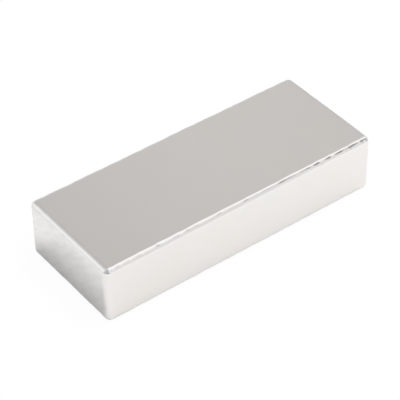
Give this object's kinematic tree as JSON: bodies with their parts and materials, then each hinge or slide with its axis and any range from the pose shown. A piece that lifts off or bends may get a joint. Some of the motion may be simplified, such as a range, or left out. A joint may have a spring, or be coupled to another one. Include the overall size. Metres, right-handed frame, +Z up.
{
  "type": "block magnet",
  "caption": "Rectangular block magnet with tumbled, rounded edges and a bright plated finish; it holds steel by either of its large flat pole faces.",
  "frame": {"origin": "centre of the lower pole face's plane, on the surface that the block lies on", "axes": "+X along the length, +Y across the width, +Z up through the thickness, out of the upper pole face; the block is magnetised along Z"},
  "size_m": [0.05, 0.02, 0.01],
  "materials": {
    "bright_nickel_plating": "bright nickel plating over a tumbled sintered block, satin to semi-gloss, slightly warm silver"
  },
  "bodies": {
    "root": {"magnet_block": "bright_nickel_plating"}
  },
  "joints": []
}
